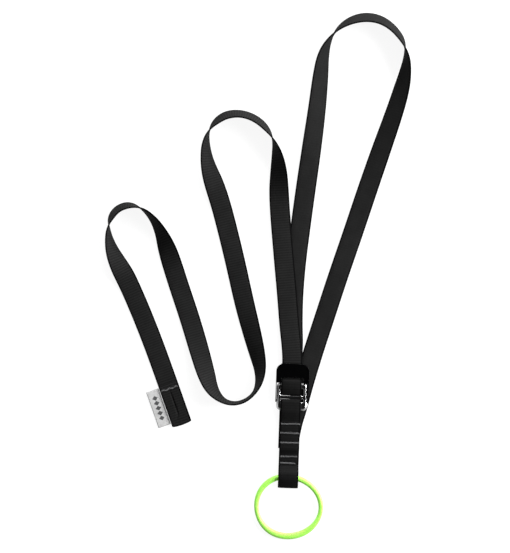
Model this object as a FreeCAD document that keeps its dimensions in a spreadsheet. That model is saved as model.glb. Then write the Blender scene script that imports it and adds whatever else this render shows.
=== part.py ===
import FreeCAD, Part
import math
import os
import Sketcher
from FreeCAD import Placement, Rotation, Vector

# A webbing lanyard lying on a table, all lengths in millimetres.
#
# One strap makes the whole lanyard. Its loose tail ends in a folded hem with a flag label, lies in
# two tight bends, and runs under the keeper's bar and round the upper bar of the front plate. From
# there it goes back up as the neck loop, comes down behind the buckle, turns round the ring as a
# sewn eye, and ends folded round the plate's lower bar. The layers under the buckle are sewn
# together by five bar tacks.
#
# Frame: +Z up from the table, +Y from the ring towards the neck loop, origin under the middle of the
# ring, buckle and sewn layers.

SIZES = [
    ("webbing_width", 20.0, "strap, across"),
    ("webbing_thick", 1.6, "strap, through"),
    ("webbing_x", -0.9, "middle of the strap in the buckle"),
    ("layer_gap", 0.05, "air between two sewn layers"),
    ("plate_width", 30.8, "front plate, across"),
    ("plate_low", 41.5, "front plate, lower edge"),
    ("plate_tall", 27.5, "front plate, lower to upper edge"),
    ("plate_thick", 2.2, "front plate, through"),
    ("plate_base", 3.4, "front plate, underside above the table"),
    ("plate_corner", 4.0, "front plate, corner radius"),
    ("plate_bevel", 1.8, "front plate, upper outline's bevel, inward"),
    ("plate_drop", 1.0, "front plate, upper outline's bevel, down"),
    ("plate_round", 0.5, "front plate, rounding of its rims"),
    ("slot_width", 23.6, "both slots, across"),
    ("slot_corner", 1.5, "both slots, corner radius"),
    ("lower_slot_low", 49.6, "lower slot, lower edge"),
    ("lower_slot_tall", 3.4, "lower slot, height"),
    ("upper_slot_low", 56.0, "upper slot, lower edge"),
    ("upper_slot_tall", 7.5, "upper slot, height"),
    ("pivot_y", 51.3, "keeper's hinge line, along the strap"),
    ("pivot_z", 4.5, "keeper's hinge line, above the table"),
    ("pivot_bore", 0.66, "bore in each rail of the front plate, radius"),
    ("pivot_stub", 0.60, "stub on each cheek of the keeper, radius"),
    ("stub_reach", 3.0, "stub, length inward from its cheek"),
    ("keeper_width", 32.9, "keeper, across"),
    ("keeper_low", 68.8, "keeper's flat part, lower edge"),
    ("keeper_tall", 18.9, "keeper's flat part, height"),
    ("keeper_base", 5.2, "keeper's flat part, underside"),
    ("keeper_thick", 1.5, "keeper's flat part, through"),
    ("keeper_corner", 7.0, "keeper, outer corner radius"),
    ("window_width", 22.4, "keeper's window, across"),
    ("window_tall", 5.8, "keeper's window, height"),
    ("window_corner", 1.2, "keeper's window, corner radius"),
    ("cheek_thick", 0.8, "keeper's cheeks, through"),
    ("cheek_end", 1.9, "keeper's cheeks, radius of the rounded end"),
    ("ring_radius", 30.9, "ring, to the middle of its cord"),
    ("ring_cord", 2.4, "ring, radius of its cord"),
    ("ring_y", -54.4, "ring's centre"),
    ("ring_z", 3.9, "ring's centre"),
    ("ring_tilt", 2.72, "ring, tilt up towards the eye, degrees"),
    ("tack_width", 2.4, "bar tack, along the strap"),
    ("tack_thick", 0.5, "bar tack, proud of the webbing"),
    ("hem_length", 42.0, "folded hem, fold to raw end"),
    ("hem_gap", 0.6, "room for the label between the hem's layers"),
    ("label_length", 38.0, "label, along the strap"),
    ("label_reach", 13.0, "label, out from the strap's edge"),
    ("label_thick", 0.5, "label, through"),
]

doc = FreeCAD.newDocument("lanyard")
sheet = doc.addObject("Spreadsheet::Sheet", "Sizes")
for row, (alias, value, note) in enumerate(SIZES, start=1):
    sheet.set(f"A{row}", alias)
    sheet.set(f"B{row}", str(value))
    sheet.set(f"C{row}", note)
    sheet.setAlias(f"B{row}", alias)
doc.recompute()


def size(alias):
    """A driving dimension, as a plain number."""
    return float(sheet.get(alias))


WIDTH = size("webbing_width")
THICK = size("webbing_thick")
LAYER = THICK + size("layer_gap")   # one sewn layer on the next

# Heights of the middle of the webbing, layer by layer from the table up.
BAR_REST = 0.1      # air between a bar and the strap on it
BACK_Z = THICK / 2
MIDDLE_Z = BACK_Z + LAYER
FRONT_Z = MIDDLE_Z + LAYER
TAIL_EXIT_Z = FRONT_Z + BAR_REST
OVER_BAR_Z = size("plate_base") + size("plate_thick") + THICK / 2 + BAR_REST

# Places along the strap where one stretch of webbing meets the next.
BUCKLE_EXIT_Y = 87.7
LOOP_END_Y = 15.0
FOLD_START_Y = 44.0
FOLDED_END_Y = 3.4
EYE_START_Y = -12.5


# ---------------------------------------------------------------- document helpers

def new_body(label):
    body = doc.addObject("PartDesign::Body", label)
    body.Label = label
    return body


def new_sketch(body, name, role):
    """A sketch on one of the body's own origin planes."""
    sketch = body.newObject("Sketcher::SketchObject", name)
    plane = next(item for item in body.Origin.OriginFeatures if item.Role == role)
    sketch.AttachmentSupport = [(plane, "")]
    sketch.MapMode = "FlatFace"
    return sketch


def bound_rectangle(sketch, width, low, tall):
    """A rectangle centred on the sketch's vertical axis, its sizes bound to the sheet's cells."""
    half = size(width) / 2
    bottom = size(low)
    top = bottom + size(tall)
    corners = [Vector(-half, bottom), Vector(half, bottom), Vector(half, top), Vector(-half, top)]
    first = sketch.GeometryCount
    for start, end in zip(corners, corners[1:] + corners[:1]):
        sketch.addGeometry(Part.LineSegment(start, end), False)
    for side in range(4):
        sketch.addConstraint(Sketcher.Constraint("Coincident", first + side, 2,
                                                 first + (side + 1) % 4, 1))
    sketch.addConstraint(Sketcher.Constraint("Symmetric", first, 1, first, 2, -2))
    sketch.addConstraint(Sketcher.Constraint("Horizontal", first + 2))
    for side in (1, 3):
        sketch.addConstraint(Sketcher.Constraint("Vertical", first + side))
    measures = [("DistanceX", (first, 1, first, 2), 2 * half, width),
                ("DistanceY", (-1, 1, first, 1), bottom, low),
                ("DistanceY", (first + 1, 1, first + 1, 2), top - bottom, tall)]
    for kind, points, value, alias in measures:
        index = sketch.addConstraint(Sketcher.Constraint(kind, *points, value))
        sketch.setExpression(f"Constraints[{index}]", f"Sizes.{alias}")


def bound_circle(sketch, across, up, radius):
    """A circle whose centre and radius are bound to the sheet's cells."""
    centre = Vector(size(across), size(up), 0)
    index = sketch.addGeometry(Part.Circle(centre, Vector(0, 0, 1), size(radius)), False)
    for kind, target, alias in (("DistanceX", (-1, 1, index, 3), across),
                                ("DistanceY", (-1, 1, index, 3), up),
                                ("Radius", (index,), radius)):
        number = sketch.addConstraint(Sketcher.Constraint(kind, *target, size(alias)))
        sketch.setExpression(f"Constraints[{number}]", f"Sizes.{alias}")


def pad(body, sketch, name, length, symmetric=False):
    feature = body.newObject("PartDesign::Pad", name)
    feature.Profile = sketch
    if symmetric:
        feature.SideType = "Symmetric"
    feature.setExpression("Length", length)
    sketch.Visibility = False
    doc.recompute()
    return feature


def pocket_through(body, sketch, name):
    """Cut the sketch's shape right through, both ways, and make sure that it took material away."""
    doc.recompute()
    before = body.Tip.Shape.Volume
    feature = body.newObject("PartDesign::Pocket", name)
    feature.Profile = sketch
    feature.SideType = "Symmetric"
    feature.Type = "ThroughAll"
    doc.recompute()
    if feature.Shape.Volume > before - 0.1:
        raise ValueError(f"{name} cuts nothing")
    return feature


def fillet(body, name, radius, wanted):
    """Round the edges of the body's last feature that the test picks."""
    base = body.Tip
    names = [f"Edge{number}" for number, edge in enumerate(base.Shape.Edges, start=1) if wanted(edge)]
    feature = body.newObject("PartDesign::Fillet", name)
    feature.Base = (base, names)
    feature.setExpression("Radius", f"Sizes.{radius}")
    doc.recompute()
    return feature


def bevel(body, name, inward, down, wanted):
    """Bevel the edges of the body's last feature that the test picks, unequally."""
    base = body.Tip
    names = [f"Edge{number}" for number, edge in enumerate(base.Shape.Edges, start=1) if wanted(edge)]
    feature = body.newObject("PartDesign::Chamfer", name)
    feature.Base = (base, names)
    feature.ChamferType = "Two distances"
    feature.setExpression("Size", f"Sizes.{down}")
    feature.setExpression("Size2", f"Sizes.{inward}")
    doc.recompute()
    return feature


def upright_edge(low, high):
    """Test for straight edges along Z that lie between two places in Y."""
    def wanted(edge):
        start, end = edge.Vertexes[0].Point, edge.Vertexes[-1].Point
        upright = abs(start.x - end.x) < 1e-6 and abs(start.y - end.y) < 1e-6
        return upright and low - 1e-3 <= start.y <= high + 1e-3
    return wanted


def level_edge(low, high):
    """Test for edges that lie level, as the rims of a flat plate do, between two heights."""
    def wanted(edge):
        box = edge.BoundBox
        return box.ZLength < 1e-6 and low - 1e-3 <= box.ZMin <= high + 1e-3
    return wanted


# ---------------------------------------------------------------- buckle

def make_front_plate():
    body = new_body("front_plate")
    outline = new_sketch(body, "plate_outline", "XY_Plane")
    outline.AttachmentOffset = Placement(Vector(0, 0, size("plate_base")), Rotation())
    bound_rectangle(outline, "plate_width", "plate_low", "plate_tall")
    pad(body, outline, "plate_pad", "Sizes.plate_thick")
    plate_top = size("plate_low") + size("plate_tall")
    fillet(body, "plate_corners", "plate_corner", upright_edge(size("plate_low"), plate_top))
    upper_z = size("plate_base") + size("plate_thick")
    bevel(body, "plate_outline_bevel", "plate_bevel", "plate_drop", level_edge(upper_z, upper_z))

    slots = new_sketch(body, "plate_slots", "XY_Plane")
    bound_rectangle(slots, "slot_width", "lower_slot_low", "lower_slot_tall")
    bound_rectangle(slots, "slot_width", "upper_slot_low", "upper_slot_tall")
    pocket_through(body, slots, "slots_cut")
    slots_top = size("upper_slot_low") + size("upper_slot_tall")
    fillet(body, "slot_corners", "slot_corner", upright_edge(size("lower_slot_low"), slots_top))
    fillet(body, "plate_rims", "plate_round", level_edge(size("plate_base"), upper_z))

    bores = new_sketch(body, "pivot_bores", "YZ_Plane")
    bound_circle(bores, "pivot_y", "pivot_z", "pivot_bore")
    pocket_through(body, bores, "bores_cut")
    return body


def make_keeper():
    body = new_body("keeper")
    outline = new_sketch(body, "keeper_outline", "XY_Plane")
    outline.AttachmentOffset = Placement(Vector(0, 0, size("keeper_base")), Rotation())
    bound_rectangle(outline, "keeper_width", "keeper_low", "keeper_tall")
    pad(body, outline, "keeper_pad", "Sizes.keeper_thick")
    keeper_top = size("keeper_low") + size("keeper_tall")
    fillet(body, "keeper_corners", "keeper_corner", upright_edge(keeper_top, keeper_top))

    window = new_sketch(body, "keeper_window", "XY_Plane")
    bound_rectangle(window, "window_width", "keeper_low", "window_tall")
    pocket_through(body, window, "window_cut")
    window_top = size("keeper_low") + size("window_tall")
    fillet(body, "window_corners", "window_corner", upright_edge(window_top, window_top))

    # Each cheek is a wall outside the front plate, with a rounded end at the hinge line.
    end_y, end_z, end_radius = size("pivot_y"), size("pivot_z"), size("cheek_end")
    root_y = size("keeper_low") + size("window_tall") / 2
    top_z = size("keeper_base") + size("keeper_thick")
    cheek = new_sketch(body, "cheek_outline", "YZ_Plane")
    cheek_x = size("keeper_width") / 2 - size("cheek_thick")
    cheek.AttachmentOffset = Placement(Vector(0, 0, cheek_x), Rotation())
    end_top = Vector(end_y, end_z + end_radius)
    end_low = Vector(end_y, end_z - end_radius)
    root_top = Vector(root_y, top_z)
    root_low = Vector(root_y, end_z - end_radius / 2)
    cheek.addGeometry(Part.LineSegment(root_top, end_top), False)
    cheek.addGeometry(Part.Arc(end_top, Vector(end_y - end_radius, end_z), end_low), False)
    cheek.addGeometry(Part.LineSegment(end_low, root_low), False)
    cheek.addGeometry(Part.LineSegment(root_low, root_top), False)
    cheek.addConstraint([Sketcher.Constraint("Block", line) for line in range(4)])
    wall = pad(body, cheek, "cheek_pad", "Sizes.cheek_thick")

    stub = new_sketch(body, "stub_outline", "YZ_Plane")
    stub.AttachmentOffset = Placement(Vector(0, 0, cheek_x - size("stub_reach")), Rotation())
    bound_circle(stub, "pivot_y", "pivot_z", "pivot_stub")
    pin = pad(body, stub, "stub_pad", "Sizes.stub_reach + Sizes.cheek_thick / 2")

    mirror = body.newObject("PartDesign::Mirrored", "other_side")
    mirror.Originals = [wall, pin]
    mirror.MirrorPlane = (next(item for item in body.Origin.OriginFeatures
                               if item.Role == "YZ_Plane"), [""])
    body.Tip = mirror
    doc.recompute()
    return body


# ---------------------------------------------------------------- ring

def make_ring():
    """Its far side rests on the table and its near side hangs in the middle of the eye."""
    ring = doc.addObject("Part::Torus", "ring")
    ring.setExpression("Radius1", "Sizes.ring_radius")
    ring.setExpression("Radius2", "Sizes.ring_cord")
    ring.Placement = Placement(Vector(0, size("ring_y"), size("ring_z")),
                               Rotation(Vector(1, 0, 0), size("ring_tilt")))
    return ring


# ---------------------------------------------------------------- webbing in layers

def band_outline(corners):
    """The closed outline of a strap seen edge-on, from its middle line's corners (y, z, bend radius)."""
    sides = {1: [], -1: []}
    ends = {1: [], -1: []}
    middle = [Vector(y, z) for y, z, bend in corners]
    radii = [bend for y, z, bend in corners[1:-1]]
    course = [(after - before).normalize() for before, after in zip(middle, middle[1:])]
    half = THICK / 2

    def beside(point, direction, side):
        return point + Vector(-direction.y, direction.x) * (half * side)

    for side in (1, -1):
        here = beside(middle[0], course[0], side)
        ends[side].append(here)
        for corner, before, after, radius in zip(middle[1:-1], course, course[1:], radii):
            turn = math.atan2(before.x * after.y - before.y * after.x, before.dot(after))
            reach = radius * math.tan(abs(turn) / 2)
            bend_start = beside(corner - before * reach, before, side)
            bend_end = beside(corner + after * reach, after, side)
            inward = Vector(-before.y, before.x) * math.copysign(1, turn)
            centre = corner - before * reach + inward * radius
            outward = (corner - centre).normalize()
            own_radius = radius - side * math.copysign(half, turn)
            sides[side].append(Part.LineSegment(here, bend_start))
            sides[side].append(Part.Arc(bend_start, centre + outward * own_radius, bend_end))
            here = bend_end
        last = beside(middle[-1], course[-1], side)
        sides[side].append(Part.LineSegment(here, last))
        ends[side].append(last)
    caps = [Part.LineSegment(ends[1][end], ends[-1][end]) for end in (0, 1)]
    return sides[1] + sides[-1] + caps


def make_layer(label, corners):
    """A stretch of webbing bent in the Y-Z plane, as wide as the strap."""
    body = new_body(label)
    outline = new_sketch(body, f"{label}_outline", "YZ_Plane")
    for line in band_outline(corners):
        outline.addGeometry(line, False)
    outline.addConstraint([Sketcher.Constraint("Block", line)
                           for line in range(outline.GeometryCount)])
    pad(body, outline, f"{label}_pad", "Sizes.webbing_width", symmetric=True)
    body.Placement = Placement(Vector(size("webbing_x"), 0, 0), Rotation())
    return body


# Middle lines of the bent stretches, as corners (y, z, bend radius). An end has no bend.
BAR_TURN = 1.6      # bend radius round a bar
SLOPE_BEND = 3.0    # bend radius where the strap slopes down off the plate
UPPER_NOSE_Y = size("upper_slot_low") + 0.3 + THICK / 2     # the strap nearly fills the upper slot
LOWER_NOSE_Y = size("lower_slot_low") + 0.6 + THICK / 2
PLATE_TOP_Y = size("plate_low") + size("plate_tall")

UPPER_WRAP = [
    (BUCKLE_EXIT_Y, TAIL_EXIT_Z, 0), (73.4, TAIL_EXIT_Z, SLOPE_BEND),
    (PLATE_TOP_Y + 1.4, OVER_BAR_Z, SLOPE_BEND), (63.8, OVER_BAR_Z, 8.0), (60.5, 5.6, 4.0),
    (UPPER_NOSE_Y, 4.3, 1.1), (UPPER_NOSE_Y, MIDDLE_Z, 1.05), (BUCKLE_EXIT_Y, MIDDLE_Z, 0),
]
FOLDED_END = [(FOLDED_END_Y, MIDDLE_Z, 0), (FOLD_START_Y, MIDDLE_Z, 0)]
FRONT_LAYER = [
    (FOLD_START_Y, MIDDLE_Z, 0), (LOWER_NOSE_Y, MIDDLE_Z, BAR_TURN),
    (LOWER_NOSE_Y, OVER_BAR_Z, BAR_TURN), (size("plate_low") - 1.3, OVER_BAR_Z, SLOPE_BEND),
    (31.0, FRONT_Z, SLOPE_BEND), (2.6, FRONT_Z, BAR_TURN), (-1.4, MIDDLE_Z, BAR_TURN),
    (EYE_START_Y, MIDDLE_Z, 0),
]
EYE = [
    (EYE_START_Y, MIDDLE_Z, 0), (-14.3, MIDDLE_Z, 1.2), (-20.6, 10.0, 3.0), (-27.0, 9.8, 4.0),
    (-35.6, 4.2, 2.0), (-35.6, BACK_Z, 1.2), (EYE_START_Y, BACK_Z, 0),
]
BACK_LAYER = [(LOOP_END_Y, BACK_Z, 0), (EYE_START_Y, BACK_Z, 0)]


def make_sewn_layers():
    """The strap round the plate's bars and in the eye, which leaves room for the ring's cord."""
    make_layer("strap_round_upper_bar", UPPER_WRAP)
    make_layer("strap_folded_end", FOLDED_END)
    make_layer("strap_front_layer", FRONT_LAYER)
    make_layer("strap_eye", EYE)
    make_layer("strap_back_layer", BACK_LAYER)


# The bar tacks: place along the strap, middle across it, length across it, and the layer below.
BAR_TACKS = [
    (28.0, -0.4, 19.0, FRONT_Z),
    (18.8, -0.7, 19.2, FRONT_Z),
    (9.2, -0.7, 18.8, FRONT_Z),
    (-4.7, -1.1, 17.2, MIDDLE_Z),
    (-11.3, -2.0, 15.0, MIDDLE_Z),
]


def make_box(label, length, width, height, placement):
    """A flat sewn piece, its sizes given as expressions."""
    box = doc.addObject("Part::Box", label)
    box.setExpression("Length", length)
    box.setExpression("Width", width)
    box.setExpression("Height", height)
    box.Placement = placement
    return box


def make_bar_tacks():
    for number, (along, across, length, layer) in enumerate(BAR_TACKS, start=1):
        corner = Vector(across - length / 2, along - size("tack_width") / 2, layer + THICK / 2)
        make_box(f"bar_tack_{number}", str(length), "Sizes.tack_width", "Sizes.tack_thick",
                 Placement(corner, Rotation()))


# ---------------------------------------------------------------- free straps

# Routes of the strap's free stretches. Each point is (x, y, tilt, base): the tilt is how far the
# strap's left edge is turned up from flat, in degrees, seen along the route, and base is the height
# that the strap's lowest edge rests at. In each tight bend the strap stands on edge, leaning a little.
TAIL_BASE = TAIL_EXIT_Z - THICK / 2
LOOP_BASE = MIDDLE_Z - THICK / 2
ON_LOOP = THICK + 0.15     # the tail lying on the loop's strand

TAIL_ROUTE = [
    (-0.9, BUCKLE_EXIT_Y, 0, TAIL_BASE), (-0.9, 95, 0, TAIL_BASE), (-2.6, 110, 0, TAIL_BASE),
    (-5, 126, 0, ON_LOOP), (-8.5, 158, 0, ON_LOOP), (-12.8, 192, 0, ON_LOOP),
    (-17.6, 232, 0, ON_LOOP), (-20, 258, -10, 0), (-20.9, 278, -34, 0), (-23, 295, -58, 0),
    (-27, 309.5, -88, 0), (-34.5, 321.5, -110, 0), (-45.7, 330.7, -114, 0), (-60, 335.3, -115, 0),
    (-74.7, 333.8, -118, 0), (-85.7, 326.2, -112, 0), (-92.4, 315.8, -90, 0), (-94.5, 304, -70, 0),
    (-93.4, 291.4, -56, 0), (-90.2, 278.3, -38, 0), (-85, 264.7, -14, 0), (-77.8, 245.2, 0, 0),
    (-69.4, 217.2, 0, 0), (-60, 183.2, 4, 0), (-51, 148, 8, 0), (-42.2, 118.1, 22, 0),
    (-35.8, 96.1, 38, 0), (-32.6, 82, 54, 0), (-33, 69.1, 71, 0), (-37.5, 57.5, 86, 0),
    (-46.5, 49.5, 86, 0), (-58, 46.2, 86, 0), (-69.5, 49.3, 80, 0), (-80, 59.8, 54, 0),
    (-86.6, 75.8, 28, 0), (-94.3, 99.1, 12, 0), (-105, 130.8, 0, 0), (-116, 160, 0, 0),
    (-125, 185.5, -6, 0), (-130.2, 200.1, -26, 0), (-135.5, 213.3, -50, 0), (-143.3, 226.5, -69, 0),
    (-154.6, 237.1, -84, 0), (-168, 240.9, -110, 0), (-179.8, 236.7, -114, 0), (-186.7, 227.2, -112, 0),
    (-188.4, 216.5, -88, 0), (-187.1, 205.5, -72, 0), (-183.6, 193.8, -53, 0), (-177.7, 181.6, -31, 0),
    (-168.3, 165.1, 0, 0), (-154, 135.2, 0, 0), (-139.3, 101.4, 0, 0), (-123.7, 62.2, 0, 0),
    (-109.7, 26.4, 0, 0),
]

LOOP_ROUTE = [
    (-0.9, BUCKLE_EXIT_Y, 0, LOOP_BASE), (-0.9, 95, 0, LOOP_BASE), (-0.6, 110, 0, LOOP_BASE),
    (-1.7, 126, 0, 0), (-2.2, 156, 0, 0), (-0.7, 188, 0, 0), (2.5, 222, 0, 0), (6.1, 258, 0, 0),
    (10.7, 300, 10, 0), (15, 342, 26, 0), (17.2, 374, 37, 0), (18.9, 395.1, 53, 0),
    (24.3, 410.6, 79, 0), (33.3, 423.3, 104, 0), (45.9, 431.9, 119, 0), (60.7, 435.7, 125, 0),
    (75.5, 433.4, 123, 0), (88.1, 425.4, 118, 0), (97.9, 413.5, 112, 0), (102, 398.6, 82, 0),
    (101.5, 383.4, 60, 0), (98.1, 363.9, 40, 0), (91.4, 339.2, 30, 0), (79.8, 302.2, 17, 0),
    (67.6, 262.1, 8, 0), (55, 219.2, 0, 0), (41.8, 176.4, 3, 0), (30.4, 136.8, 4, 0),
    (20, 101, 0, 0), (10.8, 67, 0, 0), (3.7, 41.5, 0, 0), (-0.9, 28, 0, 0), (-0.9, LOOP_END_Y, 0, 0),
]

ARC_SHARE = 0.45    # of the shorter run, on each side of a point


def section(place, heading, pose):
    """The strap's rectangle across its route, at a tilt, its lowest edge at the base height."""
    lean, base = math.radians(pose.x), pose.y
    left = Vector(-heading.y, heading.x, 0)
    across = left * math.cos(lean) + Vector(0, 0, math.sin(lean))
    through = left * -math.sin(lean) + Vector(0, 0, math.cos(lean))
    height = base + WIDTH / 2 * abs(math.sin(lean)) + THICK / 2 * abs(math.cos(lean))
    centre = Vector(place.x, place.y, height)
    corners = [centre + across * (WIDTH / 2 * side) + through * (THICK / 2 * face)
               for side, face in ((-1, -1), (1, -1), (1, 1), (-1, 1))]
    return Part.makePolygon(corners + corners[:1])


def strap_solid(label, route):
    """Straight runs joined by tangent arcs. The strap twists evenly from one point's tilt to the
    next, so it is ruled between the sections at each arc's start, middle and end."""
    places = [Vector(x, y, 0) for x, y, tilt, base in route]
    poses = [Vector(tilt, base, 0) for x, y, tilt, base in route]
    runs = [after - before for before, after in zip(places, places[1:])]
    headings = [Vector(run).normalize() for run in runs]
    sections = [section(places[0], headings[0], poses[0])]
    length = 0
    radii = []
    leaving = places[0]
    for index in range(1, len(route) - 1):
        before, after = headings[index - 1], headings[index]
        turn = math.atan2(before.x * after.y - before.y * after.x, before.dot(after))
        reach = ARC_SHARE * min(runs[index - 1].Length, runs[index].Length)
        radius = reach / math.tan(abs(turn) / 2)
        start, end = places[index] - before * reach, places[index] + after * reach
        half_way = (before + after).normalize()
        to_centre = Vector(-half_way.y, half_way.x, 0) * math.copysign(1, turn)
        middle = places[index] + to_centre * (radius / math.cos(turn / 2) - radius)
        start_pose = poses[index] + (poses[index - 1] - poses[index]) * (reach / runs[index - 1].Length)
        end_pose = poses[index] + (poses[index + 1] - poses[index]) * (reach / runs[index].Length)
        sections += [section(start, before, start_pose), section(middle, half_way, poses[index]),
                     section(end, after, end_pose)]
        length += (start - leaving).Length + radius * abs(turn)
        radii.append(radius)
        leaving = end
    sections.append(section(places[-1], headings[-1], poses[-1]))
    length += (places[-1] - leaving).Length
    solid = Part.makeLoft(sections, True, True)
    share = solid.Volume / (WIDTH * THICK * length)
    print(f"{label}: {length:.0f} mm long, volume {share:.3f} of section times length")
    print("  radii", " ".join(f"{radius:.0f}" for radius in radii))
    return solid


def make_strap(label, route):
    strap = doc.addObject("Part::Feature", label)
    strap.Shape = strap_solid(label, route)
    return strap


# ---------------------------------------------------------------- hem and label at the tail's end

HEM_NOSE = 3.0      # from the fold's outer end to where the tail's own webbing starts
TAIL_END = Vector(*TAIL_ROUTE[-1][:2])
ALONG_TAIL = (TAIL_END - Vector(*TAIL_ROUTE[-2][:2])).normalize()
HEM_TURN = math.degrees(math.atan2(ALONG_TAIL.x, -ALONG_TAIL.y))
HEM_PLACE = Placement(TAIL_END + ALONG_TAIL * HEM_NOSE, Rotation(Vector(0, 0, 1), HEM_TURN))
HEM_BEND = 1.05     # bend radius of the fold
HEM_TACK_Y = 36.5
HEM_TACK_LENGTH = 16.8
LABEL_Y = 4.0
LABEL_AIR = 0.45    # from the strap's edge to the label


def make_hem():
    """The turned-back end of the tail with its bar tack, and the label sewn in at its edge."""
    upper_z = BACK_Z + THICK + size("hem_gap")
    fold = make_layer("hem_fold", [(HEM_NOSE, BACK_Z, 0), (THICK / 2, BACK_Z, HEM_BEND),
                                   (THICK / 2, upper_z, HEM_BEND), (size("hem_length"), upper_z, 0)])
    fold.Placement = HEM_PLACE
    tack_corner = Vector(-HEM_TACK_LENGTH / 2, HEM_TACK_Y, upper_z + THICK / 2)
    make_box("hem_bar_tack", str(HEM_TACK_LENGTH), "Sizes.tack_width", "Sizes.tack_thick",
             HEM_PLACE * Placement(tack_corner, Rotation()))
    label_corner = Vector(-WIDTH / 2 - LABEL_AIR - size("label_reach"), LABEL_Y,
                          THICK + (size("hem_gap") - size("label_thick")) / 2)
    make_box("label", "Sizes.label_reach", "Sizes.label_length", "Sizes.label_thick",
             HEM_PLACE * Placement(label_corner, Rotation()))


# ---------------------------------------------------------------- build, check and write

make_front_plate()
make_keeper()
make_ring()
make_sewn_layers()
make_bar_tacks()
make_strap("strap_tail", TAIL_ROUTE)
make_strap("strap_loop", LOOP_ROUTE)
make_hem()
doc.recompute()

for item in doc.Objects:
    if "Invalid" in item.State or "Error" in item.State:
        raise ValueError(f"{item.Label} failed: {item.State}")

KINDS = ("PartDesign::Body", "Part::Box", "Part::Torus", "Part::Feature")
os.makedirs("parts", exist_ok=True)
for item in doc.Objects:
    if item.TypeId not in KINDS:
        continue
    if item.Shape.isNull() or not item.Shape.isValid():
        raise ValueError(f"{item.Label} has no valid shape")
    item.Shape.exportStep(f"parts/{item.Label}.step")
    print(f"{item.Label}: {item.Shape.Volume:.1f} mm3, {len(item.Shape.Solids)} solid")
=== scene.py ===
import math
import random

import bpy
import numpy as np
from mathutils import Matrix, Vector


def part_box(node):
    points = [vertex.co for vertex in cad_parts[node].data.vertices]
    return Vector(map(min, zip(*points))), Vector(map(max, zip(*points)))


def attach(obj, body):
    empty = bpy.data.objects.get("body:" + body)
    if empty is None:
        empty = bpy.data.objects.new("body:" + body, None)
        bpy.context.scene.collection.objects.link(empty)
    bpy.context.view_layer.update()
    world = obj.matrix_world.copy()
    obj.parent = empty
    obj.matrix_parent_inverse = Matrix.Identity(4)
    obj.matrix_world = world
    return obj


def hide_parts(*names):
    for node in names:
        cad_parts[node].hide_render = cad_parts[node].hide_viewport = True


# A webbing lanyard laid out on a white table: one black strap with a slide buckle, a sewn eye that
# holds a green cord ring, and a label at the hem of its tail.
#
# Lengths are in millimetres here, and become metres where a mesh is made.

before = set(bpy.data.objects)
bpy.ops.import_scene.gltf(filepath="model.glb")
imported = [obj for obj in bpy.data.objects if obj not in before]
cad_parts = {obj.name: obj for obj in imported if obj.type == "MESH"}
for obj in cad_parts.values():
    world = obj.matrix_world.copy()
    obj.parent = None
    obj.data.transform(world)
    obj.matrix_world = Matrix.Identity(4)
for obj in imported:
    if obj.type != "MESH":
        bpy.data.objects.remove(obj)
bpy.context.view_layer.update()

MM = 0.001
UP = Vector((0, 0, 1))
random.seed(7)


def box(node):
    """A CAD node's lowest and highest corner, in millimetres."""
    low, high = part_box(node)
    return low / MM, high / MM


# ---------------------------------------------------------------- driving sizes

WEBBING_LOW, WEBBING_HIGH = box("strap_back_layer")
WIDTH = WEBBING_HIGH.x - WEBBING_LOW.x
THICK = WEBBING_HIGH.z - WEBBING_LOW.z
WEBBING_X = (WEBBING_LOW.x + WEBBING_HIGH.x) / 2
RIB = 2.5           # one weft rib and the next
DEEP_RIBS = 0.16    # how deep the ribs are on the tail and its hem
SEWN_RIBS = 0.10    # and in the other sewn layers
FAINT_RIBS = 0.05   # and on the loop
AIR = 0.1           # between a bar and the strap on it
LABEL_REACH = 13.0  # out from its sewn edge
LABEL_LENGTH = 38.0


# ---------------------------------------------------------------- materials

class Surface:
    """A Principled material and short ways to wire it."""

    def __init__(self, name, **sockets):
        self.material = bpy.data.materials.new(name)
        self.material.use_nodes = True
        self.tree = self.material.node_tree
        self.shader = self.tree.nodes["Principled BSDF"]
        for socket, value in sockets.items():
            self.shader.inputs[socket.replace("_", " ")].default_value = value

    def node(self, kind, inputs=(), **settings):
        """A node with its settings made and its inputs set to values or linked to sockets."""
        made = self.tree.nodes.new(kind)
        for key, value in settings.items():
            setattr(made, key, value)
        for key, value in dict(inputs).items():
            if isinstance(value, bpy.types.NodeSocket):
                self.tree.links.new(value, made.inputs[key])
            else:
                made.inputs[key].default_value = value
        return made

    def maths(self, operation, first, second=0.0, third=0.0):
        return self.node("ShaderNodeMath", {0: first, 1: second, 2: third},
                         operation=operation).outputs[0]

    def noise(self, place, scale, detail=3.0):
        return self.node("ShaderNodeTexNoise", {"Vector": place, "Scale": scale, "Detail": detail}
                         ).outputs["Fac"]

    def between(self, factor, low, high):
        """A number that goes from low to high as the factor goes from 0 to 1."""
        return self.node("ShaderNodeMapRange", {"Value": factor, "To Min": low, "To Max": high}
                         ).outputs["Result"]

    def blend(self, factor, first, second):
        """A colour between two colours."""
        mixed = self.node("ShaderNodeMix", {0: factor}, data_type="RGBA")
        for index, colour in ((6, first), (7, second)):
            if isinstance(colour, bpy.types.NodeSocket):
                self.tree.links.new(colour, mixed.inputs[index])
            else:
                mixed.inputs[index].default_value = (*colour, 1)
        return mixed.outputs[2]

    def bump(self, height, distance, strength=1.0):
        relief = self.node("ShaderNodeBump", {"Height": height, "Distance": distance,
                                              "Strength": strength})
        self.tree.links.new(relief.outputs["Normal"], self.shader.inputs["Normal"])

    def give(self, socket, value):
        self.tree.links.new(value, self.shader.inputs[socket])


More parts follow.
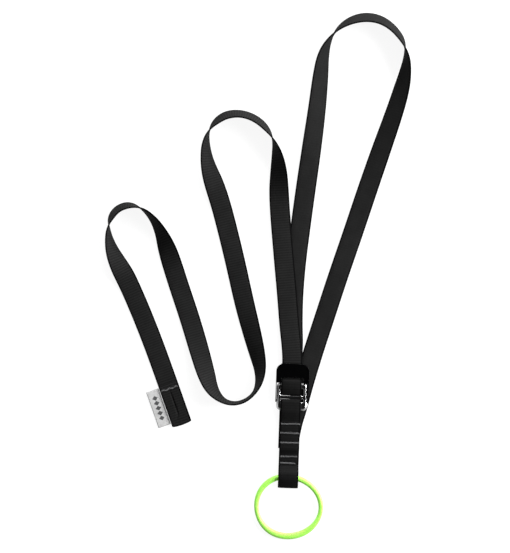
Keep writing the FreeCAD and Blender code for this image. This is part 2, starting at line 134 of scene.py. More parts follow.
def webbing_material(name, painted_groove_shade, shade):
    """Plain-woven black webbing: ribs across, warp yarns over and under them, dark selvedges. Its colour
    is painted darker in the rib grooves and lighter on their crowns, a painted shade as strong as the
    first number;
    the second number makes all of it but the selvedges lighter or darker, for lit and shaded copies of
    one webbing."""
    yarn = 0.85     # one warp yarn and the next
    selvedge_start, selvedge_full = 8.3, 8.9    # from the strap's middle
    cloth = Surface(name, Specular_IOR_Level=0.008)
    uv = cloth.node("ShaderNodeUVMap", uv_map="UVMap").outputs["UV"]
    parts = cloth.node("ShaderNodeSeparateXYZ", {0: uv}).outputs
    across, along = parts[0], parts[1]
    row = cloth.maths("SINE", cloth.maths("MULTIPLY", along, math.pi / RIB))
    warp = cloth.maths("SINE", cloth.maths("MULTIPLY", across, 2 * math.pi / yarn))
    weave = cloth.maths("MULTIPLY", row, warp)
    fibre = cloth.noise(uv, 2.6, 4.0)
    patch = cloth.noise(uv, 0.06, 2.0)
    relief = cloth.maths("MULTIPLY_ADD", weave, 0.6, cloth.maths("MULTIPLY", fibre, 0.5))
    cloth.bump(relief, 0.07 * MM, 0.8)
    # Painted shade: this cosine, in step with the sunk rows, darkens the rib grooves and lightens their
    # crowns.
    rib = cloth.maths("COSINE", cloth.maths("MULTIPLY", along, 2 * math.pi / RIB))
    tone = cloth.maths("MULTIPLY_ADD", rib, painted_groove_shade, cloth.maths("MULTIPLY_ADD", patch, 0.6, 0.2))
    crown = cloth.maths("MULTIPLY_ADD", weave, 0.2, tone)
    valley, ridge = (0.0048 * shade,) * 3, (0.0112 * shade,) * 3
    body = cloth.blend(crown, valley, ridge)
    from_middle = cloth.maths("ABSOLUTE", cloth.maths("SUBTRACT", across, WIDTH / 2))
    edge = cloth.node("ShaderNodeMapRange", {"Value": from_middle, "From Min": selvedge_start,
                                                "From Max": selvedge_full}).outputs["Result"]
    cloth.give("Base Color", cloth.blend(edge, body, (0.0020, 0.0020, 0.0021)))
    cloth.give("Roughness", cloth.between(fibre, 0.52, 0.76))
    return cloth.material


def thread_material():
    """Grey thread of the bar tacks."""
    thread = Surface("grey_thread", Specular_IOR_Level=0.35, Sheen_Weight=0.2)
    place = thread.node("ShaderNodeTexCoord").outputs["Object"]
    ply = thread.noise(place, 2600.0, 2.0)
    thread.give("Base Color", thread.blend(ply, (0.028, 0.028, 0.029), (0.085, 0.085, 0.087)))
    thread.give("Roughness", thread.between(ply, 0.45, 0.7))
    thread.bump(ply, 0.05 * MM, 0.6)
    return thread.material


def plate_material():
    """Polished metal with faint brushing. Near the strap's middle it is rougher, and its colour is a
    painted dark reflection of the black strap around it.
    """
    painted_reflection_end, unpainted_start = 9.6, 11.4   # from the strap's middle
    metal = Surface("polished_plate", Metallic=1.0)
    place = metal.node("ShaderNodeTexCoord").outputs["Object"]
    drawn = metal.node("ShaderNodeMapping", {"Vector": place, "Scale": (5000.0, 260.0, 900.0)})
    scratch = metal.noise(drawn.outputs[0], 1.0, 3.0)
    patch = metal.noise(place, 160.0, 2.0)
    sideways = metal.node("ShaderNodeSeparateXYZ", {0: place}).outputs[0]
    from_strap = metal.maths("ABSOLUTE", metal.maths("SUBTRACT", sideways, WEBBING_X * MM))
    beyond_painted_reflection = metal.node("ShaderNodeMapRange", {"Value": from_strap, "From Min": painted_reflection_end * MM,
                                                  "From Max": unpainted_start * MM}).outputs["Result"]
    polished = metal.blend(patch, (0.62, 0.62, 0.63), (0.80, 0.80, 0.80))
    # Painted reflection: near the strap's middle the metal's colour is near black, standing in for the
    # black strap it mirrors.
    metal.give("Base Color", metal.blend(beyond_painted_reflection, (0.035, 0.035, 0.036), polished))
    metal.give("Roughness", metal.between(beyond_painted_reflection, 0.34, 0.13))
    metal.bump(scratch, 0.008 * MM, 0.3)
    return metal.material


def keeper_material():
    """Smooth black paint, slightly orange-peeled."""
    paint = Surface("black_paint", Specular_IOR_Level=0.06)
    place = paint.node("ShaderNodeTexCoord").outputs["Object"]
    peel = paint.noise(place, 900.0, 2.0)
    mottle = paint.noise(place, 220.0, 4.0)
    paint.give("Base Color", paint.blend(mottle, (0.0004, 0.0004, 0.0005), (0.0010, 0.0010, 0.0011)))
    paint.give("Roughness", paint.between(mottle, 0.14, 0.24))
    paint.bump(peel, 0.02 * MM, 0.3)
    return paint.material


def rim_material():
    """The keeper's rim, greyer and shinier than its faces; its grey is a painted highlight along the
    edges.
    """
    rim = Surface("painted_highlight_rim", Specular_IOR_Level=0.7, Metallic=0.8)
    place = rim.node("ShaderNodeTexCoord").outputs["Object"]
    mottle = rim.noise(place, 350.0, 4.0)
    # Painted highlight: the grey colour stands in for light caught on the keeper's rounded edges.
    rim.give("Base Color", rim.blend(mottle, (0.12, 0.12, 0.122), (0.36, 0.36, 0.365)))
    rim.give("Roughness", rim.between(mottle, 0.22, 0.4))
    return rim.material


def ring_material():
    """Neon green soft cord, with a fine lengthwise grain and a slightly cloudy colour."""
    cord = Surface("green_cord", Roughness=0.42, Specular_IOR_Level=0.45, Subsurface_Weight=0.15,
                   Subsurface_Scale=0.6 * MM)
    cord.shader.inputs["Subsurface Radius"].default_value = (0.6, 1.0, 0.3)
    uv = cord.node("ShaderNodeUVMap", uv_map="UVMap").outputs["UV"]
    cloud = cord.noise(uv, 0.16, 2.0)
    stretched = cord.node("ShaderNodeMapping", {"Vector": uv, "Scale": (3.2, 0.5, 1.0)}).outputs[0]
    grain = cord.noise(stretched, 1.0, 3.0)
    tone = cord.maths("MULTIPLY_ADD", grain, 0.35, cord.maths("MULTIPLY", cloud, 0.65))
    cord.give("Base Color", cord.blend(tone, (0.20, 0.60, 0.045), (0.38, 0.82, 0.125)))
    cord.give("Roughness", cord.between(grain, 0.34, 0.52))
    cord.bump(grain, 0.08 * MM, 0.5)
    return cord.material


def label_material():
    """Off-white woven satin with a row of plain diamonds along its middle."""
    satin = Surface("label_satin", Specular_IOR_Level=0.4, Sheen_Weight=0.25)
    uv = satin.node("ShaderNodeUVMap", uv_map="UVMap").outputs["UV"]
    parts = satin.node("ShaderNodeSeparateXYZ", {0: uv}).outputs
    across, along = parts[0], parts[1]
    twill = satin.maths("SINE", satin.maths("MULTIPLY", satin.maths("ADD", across, along), 14.0))
    cloud = satin.noise(uv, 0.25, 3.0)
    ground = satin.blend(cloud, (0.34, 0.34, 0.34), (0.52, 0.52, 0.52))
    spacing = 5.2       # one diamond's middle and the next
    start = 0.8         # brings a diamond to the label's middle
    diamond_reach = 2.4
    row_half = 13.0     # of the row's length
    from_first = satin.maths("SUBTRACT", along, start)
    step = satin.maths("SUBTRACT", satin.maths("PINGPONG", from_first, spacing), spacing / 2)
    beside = satin.maths("ABSOLUTE", satin.maths("SUBTRACT", across, LABEL_REACH / 2))
    spread = satin.maths("MULTIPLY_ADD", beside, 0.8, satin.maths("ABSOLUTE", step))
    diamond = satin.maths("LESS_THAN", spread, diamond_reach)
    from_middle = satin.maths("ABSOLUTE", satin.maths("SUBTRACT", along, LABEL_LENGTH / 2))
    ink = satin.maths("MULTIPLY", diamond, satin.maths("LESS_THAN", from_middle, row_half))
    satin.give("Base Color", satin.blend(ink, ground, (0.05, 0.05, 0.052)))
    satin.give("Roughness", satin.between(cloud, 0.4, 0.6))
    satin.bump(twill, 0.03 * MM, 0.5)
    return satin.material


def floor_material():
    """A matt table whose white is mostly its own glow, so that it stays even."""
    floor = Surface("white_table", Roughness=0.9, Specular_IOR_Level=0.1)
    floor.shader.inputs["Base Color"].default_value = (0.15, 0.15, 0.15, 1)
    floor.shader.inputs["Emission Color"].default_value = (1, 1, 1, 1)
    floor.shader.inputs["Emission Strength"].default_value = 0.9
    return floor.material


# Three copies of one webbing. The sewn layers' copy is darker than the strands' copies: a painted shade,
# matching the darker eye and the slope below the buckle.
WEBBING = webbing_material("black_webbing", 0.36, 1.18)
SEWN_WEBBING = webbing_material("black_webbing_sewn", 0.16, 0.74)
SMOOTH_WEBBING = webbing_material("black_webbing_back", 0.08, 1.18)     # for the loop
THREAD = thread_material()
PLATE = plate_material()
PAINT = keeper_material()
RIM = rim_material()
GREEN = ring_material()
SATIN = label_material()


# ---------------------------------------------------------------- meshes

def piece(name, points, faces, uv, material, flat_faces=()):
    """A mesh object from points in millimetres. uv holds one (u, v) for each corner of each face."""
    mesh = bpy.data.meshes.new(name)
    mesh.from_pydata([tuple(point) for point in np.asarray(points) * MM], [], faces)
    mesh.polygons.foreach_set("use_smooth", [index not in flat_faces for index in range(len(faces))])
    layer = mesh.uv_layers.new(name="UVMap")
    layer.data.foreach_set("uv", np.asarray(uv, np.float32).ravel())
    mesh.materials.append(material)
    mesh.update()
    made = bpy.data.objects.new(name, mesh)
    bpy.context.scene.collection.objects.link(made)
    return made


def loft(name, rings, us, vs, material, closed=False):
    """A skin over rings of points. us go round a ring and vs along the rings; ends are capped."""
    count, around = len(rings), len(rings[0])
    points = [point for ring in rings for point in ring]
    faces, uv = [], []
    for ring in range(count if closed else count - 1):
        here, there = ring * around, (ring + 1) % count * around
        for side in range(around):
            after = (side + 1) % around
            faces.append((here + side, there + side, there + after, here + after))
            near, far = us[side], us[side + 1]
            uv += [(near, vs[ring]), (near, vs[ring + 1]), (far, vs[ring + 1]), (far, vs[ring])]
    caps = set()
    if not closed:
        for ring, corners in ((0, range(around)), (count - 1, range(around - 1, -1, -1))):
            caps.add(len(faces))
            faces.append(tuple(ring * around + corner for corner in corners))
            uv += [(us[corner], vs[ring]) for corner in corners]
    return piece(name, points, faces, uv, material, caps)


# The webbing's half section, from its edge towards its middle: how far from the middle, as a share of
# half the width, how high, as a share of half the thickness, and whether ribs show. The groove marks
# the selvedge.
HALF_SECTION = [(1.0, 0.0, 0), (0.985, 0.5, 0), (0.94, 0.9, 0), (0.885, 0.72, 0), (0.84, 0.92, 1),
                (0.45, 0.98, 1), (0.225, 1.0, 1)]


def section_columns(half_section):
    """The whole section as columns (across, height, ribbed), round from one edge and back."""
    half = [(place * WIDTH / 2, height * THICK / 2, ribbed) for place, height, ribbed in half_section]
    top = [(-x, z, r) for x, z, r in half] + [(0.0, THICK / 2, 1)] + half[::-1]
    return top + [(x, -z, r) for x, z, r in top[-2:0:-1]]


SECTION = section_columns(HALF_SECTION)
FINE_SECTION = section_columns(HALF_SECTION[:5] + [(step / 20, 1.0, 1) for step in range(15, 0, -1)])


def webbing(name, centres, across, faces, depth, material, shape=None, section=SECTION):
    """Webbing whose sections lie half a rib apart. across and faces are each section's own axes."""
    rings, vs = [], []
    for index, (centre, side, face) in enumerate(zip(centres, across, faces)):
        sunk = depth if index % 2 else 0.0
        ring = []
        for x, z, ribbed in section:
            height = z - math.copysign(sunk * ribbed, z)
            ring.append(centre + side * x + face * height)
        rings.append(ring)
        vs.append(index * RIB / 2)
    if shape:
        rings = shape(rings)
    us = [x + WIDTH / 2 for x, z, ribbed in section]
    us.append(us[0])
    made = loft(name, rings, us, vs, material)
    return made


# ---------------------------------------------------------------- free strands

# The strap's free stretches, as points (x, y, tilt, base) in millimetres and degrees: the tilt is how
# far the strap's left edge is turned up, seen along the route, and base is the height it rests at.
EXIT_Y = box("strap_round_upper_bar")[1].y
FRONT_Z = box("bar_tack_1")[0].z - THICK / 2
MIDDLE_Z = box("bar_tack_4")[0].z - THICK / 2
BACK_Z = THICK / 2
TAIL_EXIT_Z = FRONT_Z + AIR
TAIL_BASE = TAIL_EXIT_Z - THICK / 2
LOOP_BASE = MIDDLE_Z - THICK / 2
ON_LOOP = THICK + 0.15
LOOP_END_Y = WEBBING_HIGH.y

TAIL_ROUTE = [
    (-0.9, EXIT_Y, 0, TAIL_BASE), (-0.9, 95, 0, TAIL_BASE), (-2.6, 110, 0, TAIL_BASE),
    (-5, 126, 0, ON_LOOP), (-8.5, 158, 0, ON_LOOP), (-12.8, 192, 0, ON_LOOP),
    (-17.6, 232, 0, ON_LOOP), (-20, 258, -10, 0), (-20.9, 278, -34, 0), (-23, 295, -58, 0),
    (-27, 309.5, -88, 0), (-34.5, 321.5, -110, 0), (-45.7, 330.7, -114, 0), (-60, 335.3, -115, 0),
    (-74.7, 333.8, -118, 0), (-85.7, 326.2, -112, 0), (-92.4, 315.8, -90, 0), (-94.5, 304, -70, 0),
    (-93.4, 291.4, -56, 0), (-90.2, 278.3, -38, 0), (-85, 264.7, -14, 0), (-77.8, 245.2, 0, 0),
    (-69.4, 217.2, 0, 0), (-60, 183.2, 4, 0), (-51, 148, 8, 0), (-42.2, 118.1, 22, 0),
    (-35.8, 96.1, 38, 0), (-32.6, 82, 54, 0), (-33, 69.1, 71, 0), (-37.5, 57.5, 86, 0),
    (-46.5, 49.5, 86, 0), (-58, 46.2, 86, 0), (-69.5, 49.3, 80, 0), (-80, 59.8, 54, 0),
    (-86.6, 75.8, 28, 0), (-94.3, 99.1, 12, 0), (-105, 130.8, 0, 0), (-116, 160, 0, 0),
    (-125, 185.5, -6, 0), (-130.2, 200.1, -26, 0), (-135.5, 213.3, -50, 0), (-143.3, 226.5, -69, 0),
    (-154.6, 237.1, -84, 0), (-168, 240.9, -110, 0), (-179.8, 236.7, -114, 0), (-186.7, 227.2, -112, 0),
    (-188.4, 216.5, -88, 0), (-187.1, 205.5, -72, 0), (-183.6, 193.8, -53, 0), (-177.7, 181.6, -31, 0),
    (-168.3, 165.1, 0, 0), (-154, 135.2, 0, 0), (-139.3, 101.4, 0, 0), (-123.7, 62.2, 0, 0),
    (-109.7, 26.4, 0, 0),
]

LOOP_ROUTE = [
    (-0.9, EXIT_Y, 0, LOOP_BASE), (-0.9, 95, 0, LOOP_BASE), (-0.6, 110, 0, LOOP_BASE),
    (-1.7, 126, 0, 0), (-2.2, 156, 0, 0), (-0.7, 188, 0, 0), (2.5, 222, 0, 0), (6.1, 258, 0, 0),
    (10.7, 300, 10, 0), (15, 342, 26, 0), (17.2, 374, 37, 0), (18.9, 395.1, 53, 0),
    (24.3, 410.6, 79, 0), (33.3, 423.3, 104, 0), (45.9, 431.9, 119, 0), (60.7, 435.7, 125, 0),
    (75.5, 433.4, 123, 0), (88.1, 425.4, 118, 0), (97.9, 413.5, 112, 0), (102, 398.6, 82, 0),
    (101.5, 383.4, 60, 0), (98.1, 363.9, 40, 0), (91.4, 339.2, 30, 0), (79.8, 302.2, 17, 0),
    (67.6, 262.1, 8, 0), (55, 219.2, 0, 0), (41.8, 176.4, 3, 0), (30.4, 136.8, 4, 0),
    (20, 101, 0, 0), (11, 67, 0, 0), (5.2, 41.5, 0, 0), (1.2, 28, 0, 0), (-0.7, LOOP_END_Y, 0, 0),
]


def spline_through(points):
    """Close points of a smooth NURBS spline that has these control points."""
    curve = bpy.data.curves.new("route", "CURVE")
    curve.dimensions = "3D"
    spline = curve.splines.new("NURBS")
    spline.points.add(len(points) - 1)
    for control, point in zip(spline.points, points):
        control.co = (*point, 1.0)
    spline.order_u = 3
    spline.use_endpoint_u = True
    spline.resolution_u = 40
    curve.resolution_u = 40
    holder = bpy.data.objects.new("route", curve)
    mesh = bpy.data.meshes.new_from_object(holder)
    found = np.array([vertex.co for vertex in mesh.vertices], float)
    bpy.data.objects.remove(holder)
    bpy.data.curves.remove(curve)
    bpy.data.meshes.remove(mesh)
    return found


def stations(line, values, rows):
    """The line's points and the values beside them, evenly spaced along the line."""
    steps = np.linalg.norm(np.diff(line, axis=0), axis=1)
    along = np.concatenate([[0.0], np.cumsum(steps)])
    wanted = np.linspace(0, along[-1], rows)
    columns = np.column_stack([line, values])
    return np.column_stack([np.interp(wanted, along, column) for column in columns.T])


def length_of(line):
    return float(np.linalg.norm(np.diff(line, axis=0), axis=1).sum())


def strand(name, route, depth, material):
    """A free stretch of the strap. It returns the piece, its middle line and its length."""
    line = spline_through([(x * MM, y * MM, 0) for x, y, tilt, base in route])[:, :2] / MM
    poses = spline_through([(tilt * MM, base * MM, 0) for x, y, tilt, base in route])[:, :2] / MM
    rows = 2 * round(length_of(line) / RIB) + 1
    found = stations(line, poses, rows)
    ahead = np.gradient(found[:, :2], axis=0)
    ahead /= np.linalg.norm(ahead, axis=1)[:, None]
    lean = np.radians(found[:, 2])
    left = np.column_stack([-ahead[:, 1], ahead[:, 0], np.zeros(rows)])
    across = left * np.cos(lean)[:, None] + np.outer(np.sin(lean), UP)
    faces = -left * np.sin(lean)[:, None] + np.outer(np.cos(lean), UP)
    height = found[:, 3] + WIDTH / 2 * np.abs(np.sin(lean)) + THICK / 2 * np.abs(np.cos(lean))
    centres = np.column_stack([found[:, 0], found[:, 1], height])
    return webbing(name, centres, across, faces, depth, material), centres, length_of(centres)


tail, tail_line, tail_length = strand("tail_webbing", TAIL_ROUTE, DEEP_RIBS, WEBBING)
loop, loop_line, loop_length = strand("loop_webbing", LOOP_ROUTE, FAINT_RIBS, SMOOTH_WEBBING)
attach(tail, "strap_and_buckle")
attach(loop, "strap_and_buckle")
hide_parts("strap_tail")
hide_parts("strap_loop")


# ---------------------------------------------------------------- sewn layers

def rounded(corners):
    """Close points (y, z) along straight runs and the arcs at the corners (y, z, bend radius)."""
    places = [np.array(corner[:2], float) for corner in corners]
    found = [places[0]]
    for before, place, after, corner in zip(places, places[1:], places[2:], corners[1:]):
        into = (place - before) / np.linalg.norm(place - before)
        out = (after - place) / np.linalg.norm(after - place)
        turn = math.atan2(into[0] * out[1] - into[1] * out[0], float(into @ out))
        reach = corner[2] * math.tan(abs(turn) / 2)
        centre = place - into * reach + np.array([-into[1], into[0]]) * math.copysign(corner[2], turn)
        start = place - into * reach - centre
        for share in np.linspace(0, 1, 25):
            c, s = math.cos(turn * share), math.sin(turn * share)
            found.append(centre + np.array([c * start[0] - s * start[1], s * start[0] + c * start[1]]))
    found.append(places[-1])
    return np.array(found)


def layer(name, corners, node, place, depth=SEWN_RIBS, material=SEWN_WEBBING, shape=None,
          section=SECTION):
    """Sewn webbing that follows corners in the Y-Z plane, moved to its place on the strap."""
    line = rounded(corners)
    rows = 2 * max(2, round(length_of(line) / RIB)) + 1
    found = stations(line, np.zeros((len(line), 0)), rows)
    ahead = np.gradient(found, axis=0)
    ahead /= np.linalg.norm(ahead, axis=1)[:, None]
    turned = place.to_3x3()
    centres = [place @ Vector((0, y, z)) for y, z in found]
    across = [turned @ Vector((-1, 0, 0)) for _ in found]
    faces = [turned @ Vector((0, -dz, dy)) for dy, dz in ahead]
    made = webbing(name, centres, across, faces, depth, material, shape, section)
    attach(made, "strap_and_buckle")
    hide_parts(node)
    return made


BAR_TURN = 1.6      # bend radius round a bar
SLOPE_BEND = 3.0    # bend radius where the strap slopes down off the plate
WRAP_LOW, WRAP_HIGH = box("strap_round_upper_bar")
FRONT_LOW, FRONT_HIGH = box("strap_front_layer")
OVER_BAR_Z = WRAP_HIGH.z - THICK / 2
UPPER_NOSE_Y = WRAP_LOW.y + THICK / 2 - 0.25      # pulled snug against the bar between the slots
LOWER_NOSE_Y = FRONT_HIGH.y - THICK / 2 + 1.1
ASIDE = 1.0         # how far the runs under the bars lie to the left of those over them
SWELL = 0.35        # of the front layer, between two bar tacks
EYE_START_Y = WEBBING_LOW.y
PLATE_LOW, PLATE_HIGH = box("front_plate")
FOLD_START_Y = box("strap_folded_end")[1].y
ASIDE_FROM_Y = FOLD_START_Y - 1.0       # where the front layer starts to lie aside

UPPER_WRAP = [
    (EXIT_Y, TAIL_EXIT_Z, 0), (73.4, TAIL_EXIT_Z, SLOPE_BEND),
    (PLATE_HIGH.y + 1.4, OVER_BAR_Z, SLOPE_BEND), (63.8, OVER_BAR_Z, 8.0), (60.5, 5.6, 4.0),
    (UPPER_NOSE_Y, 4.3, 1.1), (UPPER_NOSE_Y, MIDDLE_Z, 1.05), (EXIT_Y, MIDDLE_Z, 0),
]
FOLDED_END = [(box("strap_folded_end")[0].y, MIDDLE_Z, 0), (FOLD_START_Y, MIDDLE_Z, 0)]
FRONT_LAYER = [
    (FOLD_START_Y, MIDDLE_Z, 0), (LOWER_NOSE_Y, MIDDLE_Z, BAR_TURN),
    (LOWER_NOSE_Y, OVER_BAR_Z, BAR_TURN), (PLATE_LOW.y - 1.3, OVER_BAR_Z, SLOPE_BEND),
    (31.0, FRONT_Z, SLOPE_BEND), (2.6, FRONT_Z, BAR_TURN), (-1.4, MIDDLE_Z, BAR_TURN),
    (EYE_START_Y, MIDDLE_Z, 0),
]
EYE = [
    (EYE_START_Y, MIDDLE_Z, 0), (-14.3, MIDDLE_Z, 1.2), (-20.6, 10.0, 3.0), (-27.0, 9.8, 4.0),
    (-35.6, 4.2, 2.0), (-35.6, BACK_Z, 1.2), (EYE_START_Y, BACK_Z, 0),
]
BACK_LAYER = [(LOOP_END_Y, BACK_Z, 0), (EYE_START_Y, BACK_Z, 0)]
ON_STRAP = Matrix.Translation((WEBBING_X, 0, 0))


def aside(point):
    """How far a point of the strap round a bar lies to the left, more the lower it is."""
    return ASIDE * min(max((MIDDLE_Z + THICK - point.z) / (THICK / 2), 0.0), 1.0)


def round_bar(rings):
    """The run under the bar lies a little to the left of the run over it."""
    return [[point - Vector((aside(point), 0, 0)) for point in ring] for ring in rings]


TACK_LINES = [(box(f"bar_tack_{number}")[0].y + box(f"bar_tack_{number}")[1].y) / 2
              for number in range(1, 6)]


def quilted(rings):
    """The front layer swells a little between the bar tacks, and lies aside under the bar."""
    swollen = []
    for ring in rings:
        moved = []
        for point in ring:
            here = Vector(point)
            if here.y > ASIDE_FROM_Y:
                here.x -= aside(here)
            for upper, lower in zip(TACK_LINES, TACK_LINES[1:]):
                if lower < here.y < upper and here.z > MIDDLE_Z:
                    share = (here.y - lower) / (upper - lower)
                    here.z += SWELL * math.sin(math.pi * share) ** 0.7
            moved.append(here)
        swollen.append(moved)
    return swollen


layer("upper_bar_webbing", UPPER_WRAP, "strap_round_upper_bar", ON_STRAP, shape=round_bar)
layer("folded_end_webbing", FOLDED_END, "strap_folded_end", ON_STRAP @ Matrix.Translation((-ASIDE, 0, 0)))
layer("front_layer_webbing", FRONT_LAYER, "strap_front_layer", ON_STRAP, shape=quilted)
layer("eye_webbing", EYE, "strap_eye", ON_STRAP)
layer("back_layer_webbing", BACK_LAYER, "strap_back_layer", ON_STRAP)


# ---------------------------------------------------------------- bar tacks

STITCH_STEPS = 8        # points along one stitch, there and back
WAVES = 2.5             # waves along a tack that isn't straight
SLANTS = (1.0, -0.8, 0.9, 1.3, -1.0)    # each tack's turn from square, degrees
SUNK = 0.05             # how far a tack's underside lies in the webbing


def bar_tack(name, length, width, place, node, wave=0.0):
    """Dense zigzag stitching across the strap, made of one thread. Its line may wave."""
    pitch = 0.85        # one stitch and the next
    thread = 0.19       # radius
    sides = 6
    count = round(length / pitch) * STITCH_STEPS
    line = []
    wander = 1.0
    for index in range(count + 1):
        phase = index / STITCH_STEPS
        if index % STITCH_STEPS == 0:
            wander = random.uniform(0.84, 1.0)
        swing = (2 / math.pi) * math.asin(0.985 * math.sin(2 * math.pi * phase)) * wander
        x = length * (index / count - 0.5)
        z = thread + 0.16 * (1 - swing * swing)
        offset = wave * math.sin(WAVES * 2 * math.pi * index / count)
        line.append(Vector((x, swing * (width / 2 - thread) + offset, z)))
    rings = []
    for index, point in enumerate(line):
        ahead = (line[min(index + 1, count)] - line[max(index - 1, 0)]).normalized()
        side = ahead.cross(UP).normalized()
        lift = side.cross(ahead)
        angles = [2 * math.pi * corner / sides for corner in range(sides)]
        rings.append([place @ (point + side * (thread * math.cos(angle))
                               + lift * (thread * math.sin(angle))) for angle in angles])
    made = loft(name, rings, list(range(sides + 1)),
                [index * pitch / STITCH_STEPS for index in range(count + 1)], THREAD)
    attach(made, "strap_and_buckle")
    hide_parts(node)
    return made


for number, slant in enumerate(SLANTS, start=1):
    low, high = box(f"bar_tack_{number}")
    bar_tack(f"stitching_{number}", high.x - low.x, high.y - low.y,
             Matrix.Translation(((low.x + high.x) / 2, (low.y + high.y) / 2, low.z - SUNK))
             @ Matrix.Rotation(math.radians(slant), 4, "Z"), f"bar_tack_{number}")


# ---------------------------------------------------------------- hem and label

HEM_NOSE = 3.0      # from the fold's outer end to where the tail's own webbing starts
HEM_LENGTH = 42.0   # fold to raw end
HEM_GAP = 0.6       # room for the label between the hem's layers
HEM_BEND = 1.05     # bend radius of the fold
HEM_BOW = 0.9       # how far the fold's middle stands out past its corners
CREASE_LOW, CREASE_HIGH = 6.8, 35.5     # where the hem's crease starts and ends, from the fold
CREASE_HALF = 0.75
DENT_Y, DENT_HALF, DENT_DEEP = 4.6, 0.8, 0.7        # the dent across the hem, near the fold
FALL_START, FALL_DEEP = 5.0, 1.0        # where the upper layer starts to fall, and how far it falls
HEM_TACK_Y, HEM_TACK_LENGTH, HEM_TACK_WIDTH = 37.7, 16.8, 2.4
HEM_TACK_WAVE = 0.45
LABEL_THICK = 0.3
LABEL_Y = 4.0       # from the fold to the label
LABEL_AIR = 0.45    # from the strap's edge to the label
UPPER_HEM_Z = BACK_Z + THICK + HEM_GAP

last, before_last = Vector(TAIL_ROUTE[-1][:2]), Vector(TAIL_ROUTE[-2][:2])
ALONG_TAIL = (last - before_last).normalized()
HEM_END = last + ALONG_TAIL * HEM_NOSE
HEM_PLACE = (Matrix.Translation((HEM_END.x, HEM_END.y, 0))
             @ Matrix.Rotation(math.atan2(ALONG_TAIL.x, -ALONG_TAIL.y), 4, "Z"))


def crease(y):
    """Where the hem's lengthwise crease runs, across the strap, and how deep it is there."""
    share = min(max((y - CREASE_LOW) / (CREASE_HIGH - CREASE_LOW), 0.0), 1.0)
    across = -0.2 - 2.5 * (max(0.0, 13.0 - y) / 5.6) ** 2
    return across, 1.25 * math.sin(math.pi * share) ** 0.4


def hem_shape(rings):
    """The fold bows outward between its corners, and its upper layer falls towards the fold behind a
    dent across it, and has a crease along it."""
    back = HEM_PLACE.inverted()
    shaped = []
    for ring in rings:
        moved = []
        for point in ring:
            here = back @ Vector(point)
            outer = min(max((HEM_NOSE - here.y) / HEM_NOSE, 0.0), 1.0)
            here.y -= HEM_BOW * outer * (1 - (here.x / (WIDTH / 2)) ** 2)
            if here.z > UPPER_HEM_Z and CREASE_LOW < here.y < CREASE_HIGH:
                across, depth = crease(here.y)
                here.z -= depth * math.exp(-((here.x - across) / CREASE_HALF) ** 2)
            if here.z > UPPER_HEM_Z:
                here.z -= DENT_DEEP * math.exp(-((here.y - DENT_Y) / DENT_HALF) ** 2)
                here.z -= FALL_DEEP * max(0.0, 1 - here.y / FALL_START) ** 2
            moved.append(HEM_PLACE @ here)
        shaped.append(moved)
    return shaped


hem = layer("hem_webbing", [(HEM_NOSE, BACK_Z, 0), (THICK / 2, BACK_Z, HEM_BEND),
                            (THICK / 2, UPPER_HEM_Z, HEM_BEND), (HEM_LENGTH, UPPER_HEM_Z, 0)],
            "hem_fold", HEM_PLACE, DEEP_RIBS, WEBBING, hem_shape, FINE_SECTION)
hem_tack = bar_tack("hem_stitching", HEM_TACK_LENGTH, HEM_TACK_WIDTH,
                    HEM_PLACE @ Matrix.Translation((0, HEM_TACK_Y, UPPER_HEM_Z + THICK / 2 - SUNK)),
                    "hem_bar_tack", wave=HEM_TACK_WAVE)


def make_label():
    """A thin satin flag that droops from its sewn edge and waves a little along it."""
    inner_x = -WIDTH / 2 - LABEL_AIR
    sewn_z = THICK + HEM_GAP / 2
    columns, rows = 14, 40
    rings = []
    for row in range(rows + 1):
        share = row / rows
        top, under = [], []
        for column in range(columns + 1):
            out = column / columns
            droop = 0.95 * out ** 1.4
            wave = 0.16 * out * math.sin(2 * math.pi * (share * 1.6 + 0.1))
            place = Vector((inner_x - out * LABEL_REACH, LABEL_Y + share * LABEL_LENGTH,
                            sewn_z - droop + wave))
            top.append(HEM_PLACE @ (place + UP * LABEL_THICK / 2))
            under.append(HEM_PLACE @ (place - UP * LABEL_THICK / 2))
        rings.append(top + under[::-1])
    us = [LABEL_REACH * column / columns for column in range(columns + 1)]
    us = us + us[::-1] + us[:1]
    made = loft("label_cloth", rings, us, [LABEL_LENGTH * row / rows for row in range(rows + 1)], SATIN)
    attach(made, "label")
    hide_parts("label")
    return made


label = make_label()


# ---------------------------------------------------------------- ring

def make_ring():
    """A soft cord ring, a little out of round. Its cord is widest opposite the eye and narrowest at
    the ring's two sides."""
    low, high = box("ring")
    cord = 2.4
    radius = (high.x - low.x) / 2 - cord
    tilt = math.asin((high.z - low.z - 2 * cord) / (2 * radius))
    centre = (low + high) / 2
    place = Matrix.Translation(centre) @ Matrix.Rotation(tilt, 4, "X")
    steps, sides = 240, 24
    rings = []
    for step in range(steps):
        angle = 2 * math.pi * step / steps
        course = (radius + 0.15 + 1.1 * math.cos(2 * angle) - 0.3 * math.sin(2 * angle)
                  + 0.15 * math.cos(angle) + 0.35 * math.cos(3 * angle))
        in_eye = max(0.0, math.sin(angle)) ** 12
        wide = cord * (1.16 - 0.2 * math.cos(2 * angle) - 0.35 * in_eye + 0.04 * math.sin(5 * angle))
        deep = cord * 0.97
        out = Vector((math.cos(angle), math.sin(angle), 0))
        ring = []
        for side in range(sides):
            turn = 2 * math.pi * side / sides
            ring.append(place @ (out * (course + wide * math.cos(turn)) + UP * (deep * math.sin(turn))))
        rings.append(ring)
    around = 2 * math.pi * cord
    us = [around * side / sides for side in range(sides + 1)]
    vs = [2 * math.pi * radius * step / steps for step in range(steps + 1)]
    made = loft("ring_cord", rings, us, vs, GREEN, closed=True)
    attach(made, "ring")
    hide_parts("ring")


make_ring()


# ---------------------------------------------------------------- buckle

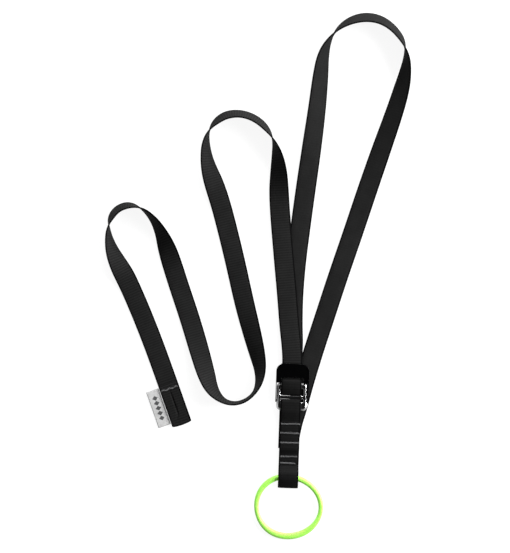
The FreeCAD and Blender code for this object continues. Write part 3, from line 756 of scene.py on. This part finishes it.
def dress(node, materials, bevel=0.0, rim=-1):
    """A CAD node with its own materials. A bevel rounds its sharp edges, with the rim's material."""
    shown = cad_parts[node]
    shown.data.materials.clear()
    for material in materials:
        shown.data.materials.append(material)
    shown.modifiers.new("weld", "WELD").merge_threshold = 0.002 * MM
    if bevel:
        rounding = shown.modifiers.new("rounding", "BEVEL")
        rounding.width = bevel * MM
        rounding.segments = 3
        rounding.limit_method = "ANGLE"
        rounding.angle_limit = math.radians(35)
        rounding.material = rim
    shown.modifiers.new("even_shading", "WEIGHTED_NORMAL").weight = 100


dress("front_plate", [PLATE])
dress("keeper", [PAINT, RIM], bevel=0.42, rim=1)


# ---------------------------------------------------------------- lengths of the free strands

print(f"tail {tail_length:.0f} mm, loop {loop_length:.0f} mm")


# ---------------------------------------------------------------- table, light and camera
# Metres from here on, apart from the table's corners, the lens and the sensor.

VIEW_CENTRE = Vector((-0.04096, 0.17365, 0))
VIEW_TALL = 0.553           # what the picture's long side takes in, on the table
VIEW_ROLL = math.radians(2)
LENS = 100.0
SENSOR = 36.0


def make_table():
    half = 2500.0
    below = -0.1
    corners = [(-half, -half, below), (half, -half, below), (half, half, below), (-half, half, below)]
    table = piece("table", corners, [(0, 1, 2, 3)], [(0, 0), (1, 0), (1, 1), (0, 1)], floor_material())


def make_sky():
    """Soft white surroundings: bright to both sides and towards +Y, dim towards -Y, dark overhead."""
    world = bpy.data.worlds.new("studio")
    bpy.context.scene.world = world
    world.use_nodes = True
    tree = world.node_tree

    def ranged(value, low, high, to_low, to_high):
        made = tree.nodes.new("ShaderNodeMapRange")
        for socket, number in (("From Min", low), ("From Max", high), ("To Min", to_low),
                               ("To Max", to_high)):
            made.inputs[socket].default_value = number
        tree.links.new(value, made.inputs["Value"])
        return made.outputs[0]

    def maths(operation, first, second=0.0):
        made = tree.nodes.new("ShaderNodeMath")
        made.operation = operation
        for socket, value in zip(made.inputs, (first, second)):
            if isinstance(value, float):
                socket.default_value = value
            else:
                tree.links.new(value, socket)
        return made.outputs[0]

    parts = tree.nodes.new("ShaderNodeSeparateXYZ")
    tree.links.new(tree.nodes.new("ShaderNodeTexCoord").outputs["Generated"], parts.inputs[0])
    x, y, z = parts.outputs
    overhead = ranged(z, 0.80, 0.96, 1.0, 0.03)
    sideways = ranged(maths("ABSOLUTE", x), 0.0, 1.0, 0.2, 0.8)
    behind = ranged(y, 0.0, 0.8, 0.0, 0.3)
    strength = maths("MULTIPLY", overhead, maths("ADD", sideways, behind))
    tree.links.new(strength, tree.nodes["Background"].inputs["Strength"])
    tree.nodes["Background"].inputs["Color"].default_value = (1, 1, 1, 1)


def make_lamp(name, place, size, watts):
    """A soft square lamp that faces the middle of the view."""
    light = bpy.data.lights.new(name, "AREA")
    light.size = size
    light.energy = watts
    lamp = bpy.data.objects.new(name, light)
    lamp.location = place
    lamp.rotation_mode = "QUATERNION"
    lamp.rotation_quaternion = (VIEW_CENTRE - Vector(place)).to_track_quat("-Z", "Y")
    bpy.context.scene.collection.objects.link(lamp)


def make_camera():
    """Straight above the table, turned a little."""
    data = bpy.data.cameras.new("camera")
    data.lens = LENS
    data.sensor_width = SENSOR
    camera = bpy.data.objects.new("camera", data)
    camera.location = VIEW_CENTRE + UP * (VIEW_TALL * LENS / SENSOR)
    camera.rotation_euler = (0, 0, VIEW_ROLL)
    bpy.context.scene.collection.objects.link(camera)
    bpy.context.scene.camera = camera


make_table()
make_sky()
make_lamp("right_light", (1.75, 0.75, 0.8), 1.6, 150)
make_lamp("back_light", (-0.1, 2.2, 0.45), 0.8, 75)
make_camera()
bpy.context.scene.view_settings.view_transform = "Standard"
